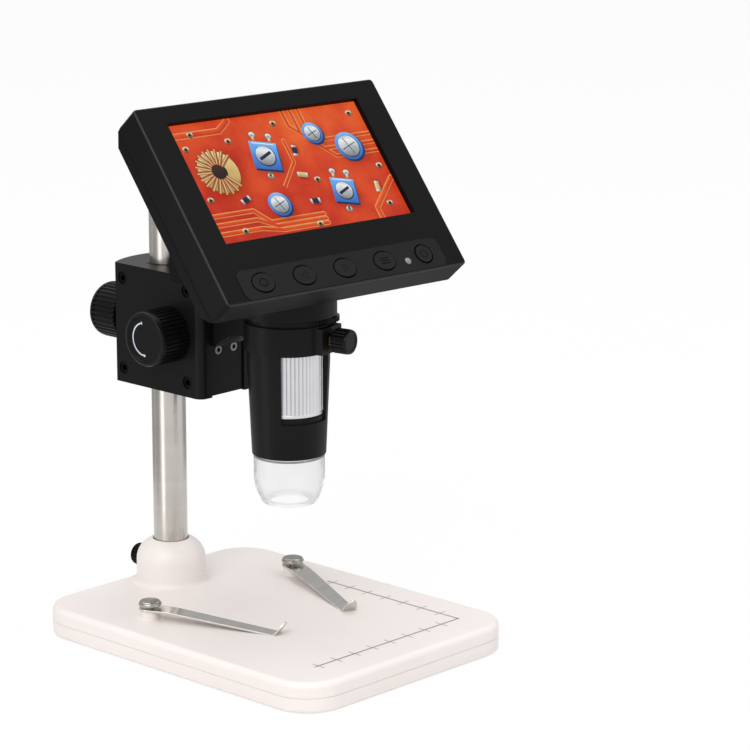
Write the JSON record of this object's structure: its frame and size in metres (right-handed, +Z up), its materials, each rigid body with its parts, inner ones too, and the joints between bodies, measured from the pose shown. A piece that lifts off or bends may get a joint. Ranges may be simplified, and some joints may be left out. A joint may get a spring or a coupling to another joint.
{
  "type": "digital microscope with screen on a column stand",
  "caption": "Table microscope with a tilted screen on its tube, held in a ring on a rack-driven carriage that rides and swivels on a column over a flat base with spring clips.",
  "frame": {"origin": "middle of the base's sole", "axes": "+Z up, -Y towards the user's side with the screen and buttons, +X to the user's right"},
  "size_m": [0.1256, 0.1734, 0.2216],
  "materials": {
    "white_plastic": "satin moulded",
    "black_plastic": "fine satin",
    "bezel_plastic": "fine satin",
    "knob_plastic": "ribbed satin",
    "button_plastic": "satin",
    "black_rubber": "matt",
    "brushed_column": "brushed round the tube",
    "steel": "plain",
    "dark_steel": "blackened",
    "nickel": "bright nickel plate",
    "brass": "turned",
    "wheel_metal": "silver, ribbed",
    "clear_plastic": "clear",
    "lens_glass": "polished",
    "screen": "glossy panel",
    "circuit_board": "solder mask",
    "battery_can": "wrapped",
    "lamp_plastic": "diffuse"
  },
  "bodies": {
    "stand": {"base_top_shell": "white_plastic", "base_bottom_cover": "white_plastic", "sole_pads": "black_rubber", "base_screws": "steel", "column": "brushed_column", "column_plug": "black_plastic", "clip_screws": "nickel"},
    "base_lock": {"base_lock_knob": "knob_plastic", "base_lock_screw": "steel"},
    "left_clip": {"left_stage_clip": "nickel"},
    "right_clip": {"right_stage_clip": "nickel"},
    "bush": {"column_bush": "knob_plastic"},
    "carriage": {"carriage_left_shell": "black_plastic", "carriage_right_shell": "black_plastic", "carriage_screws": "dark_steel", "rear_clamp_nut": "brass"},
    "rear_lock": {"rear_lock_knob": "knob_plastic", "rear_lock_screw": "steel"},
    "slide": {"focus_slide": "black_plastic", "focus_rack": "brass", "ring_holder": "black_plastic", "ring_screws": "steel"},
    "focus_drive": {"focus_shaft": "steel", "focus_pinion": "brass", "left_focus_knob": "knob_plastic", "right_focus_knob": "knob_plastic"},
    "ring_clamp": {"clamp_knob": "knob_plastic", "clamp_screw": "brass"},
    "microscope": {"tube_shell": "black_plastic", "neck_collar": "black_plastic", "neck_screws": "steel", "monitor_bezel": "bezel_plastic", "monitor_rear_shell": "bezel_plastic", "housing_screws": "steel", "screen_panel": "screen", "main_board": "circuit_board", "button_board": "circuit_board", "port_board": "circuit_board", "status_light": "clear_plastic", "battery": "battery_can", "usb_socket": "steel", "card_socket": "steel", "dimmer_control": "steel", "sensor_holder": "black_plastic", "sensor_board": "circuit_board", "led_board": "circuit_board", "led_lamps": "lamp_plastic", "led_screws": "steel", "lens_baffle": "black_plastic"},
    "dimmer": {"dimmer_wheel": "knob_plastic"},
    "wheel": {"focus_wheel": "wheel_metal"},
    "lens": {"lens_barrel": "black_plastic", "objective_lens": "lens_glass"},
    "cap": {"clear_cap": "clear_plastic"},
    "ok_key": {"ok_button": "button_plastic"},
    "left_key": {"left_button": "button_plastic"},
    "right_key": {"right_button": "button_plastic"},
    "menu_key": {"menu_button": "button_plastic"},
    "power_key": {"power_button": "button_plastic"}
  },
  "joints": [
    {"name": "base_lock_turn", "type": "hinge", "parent": "stand", "child": "base_lock", "pos_m": [0, 0.077, 0.0196], "axis": [0, 1, 0], "continuous": true},
    {"name": "left_clip_swing", "type": "hinge", "parent": "stand", "child": "left_clip", "pos_m": [-0.0405, 0.0295, 0.017], "axis": [0, 0, 1], "range_deg": [-60, 17]},
    {"name": "right_clip_swing", "type": "hinge", "parent": "stand", "child": "right_clip", "pos_m": [0.0405, 0.0295, 0.017], "axis": [0, 0, 1], "range_deg": [-17, 60]},
    {"name": "carriage_height", "type": "slide", "parent": "stand", "child": "bush", "axis": [0, 0, 1], "range_m": [-0.015, 0.038]},
    {"name": "carriage_swivel", "type": "hinge", "parent": "bush", "child": "carriage", "pos_m": [0, 0.0603, 0.1227], "axis": [0, 0, 1], "continuous": true},
    {"name": "rear_lock_turn", "type": "hinge", "parent": "carriage", "child": "rear_lock", "pos_m": [0, 0.086, 0.1227], "axis": [0, 1, 0], "continuous": true},
    {"name": "focus_travel", "type": "slide", "parent": "carriage", "child": "slide", "axis": [0, 0, 1], "range_m": [-0.008, 0.012]},
    {"name": "focus_turn", "type": "hinge", "parent": "carriage", "child": "focus_drive", "pos_m": [0, 0.04199, 0.1227], "axis": [1, 0, 0], "range_deg": [-150, 100]},
    {"name": "clamp_turn", "type": "hinge", "parent": "slide", "child": "ring_clamp", "pos_m": [0.00499, -0.03272, 0.1283], "axis": [0.2079, -0.9781, 0], "continuous": true},
    {"name": "head_swivel", "type": "hinge", "parent": "slide", "child": "microscope", "pos_m": [0, -0.00924, 0.1283], "axis": [0, 0, 1], "range_deg": [-25, 25]},
    {"name": "dimmer_turn", "type": "hinge", "parent": "microscope", "child": "dimmer", "pos_m": [0.0064, -0.01693, 0.135], "axis": [0, 0, 1], "range_deg": [-135, 135]},
    {"name": "wheel_turn", "type": "hinge", "parent": "microscope", "child": "wheel", "pos_m": [0, -0.00924, 0.1095], "axis": [0, 0, 1], "range_deg": [-150, 150]},
    {"name": "lens_travel", "type": "slide", "parent": "microscope", "child": "lens", "axis": [0, 0, 1], "range_m": [-0.0026, 0.0026]},
    {"name": "cap_pull", "type": "slide", "parent": "microscope", "child": "cap", "axis": [0, 0, 1], "range_m": [-0.012, 0]},
    {"name": "ok_press", "type": "slide", "parent": "microscope", "child": "ok_key", "axis": [0.0697, 0.7595, -0.6468], "range_m": [0, 0.0008], "stiffness_N_per_m": 400},
    {"name": "left_press", "type": "slide", "parent": "microscope", "child": "left_key", "axis": [0.0697, 0.7595, -0.6468], "range_m": [0, 0.0008], "stiffness_N_per_m": 400},
    {"name": "right_press", "type": "slide", "parent": "microscope", "child": "right_key", "axis": [0.0697, 0.7595, -0.6468], "range_m": [0, 0.0008], "stiffness_N_per_m": 400},
    {"name": "menu_press", "type": "slide", "parent": "microscope", "child": "menu_key", "axis": [0.0697, 0.7595, -0.6468], "range_m": [0, 0.0008], "stiffness_N_per_m": 400},
    {"name": "power_press", "type": "slide", "parent": "microscope", "child": "power_key", "axis": [0.0697, 0.7595, -0.6468], "range_m": [0, 0.0008], "stiffness_N_per_m": 400}
  ],
  "couplings": [
    {"joint": "focus_turn", "follows": "focus_travel", "rad_per_m": -208.33},
    {"joint": "lens_travel", "follows": "wheel_turn", "m_per_rad": 0.0009549}
  ]
}
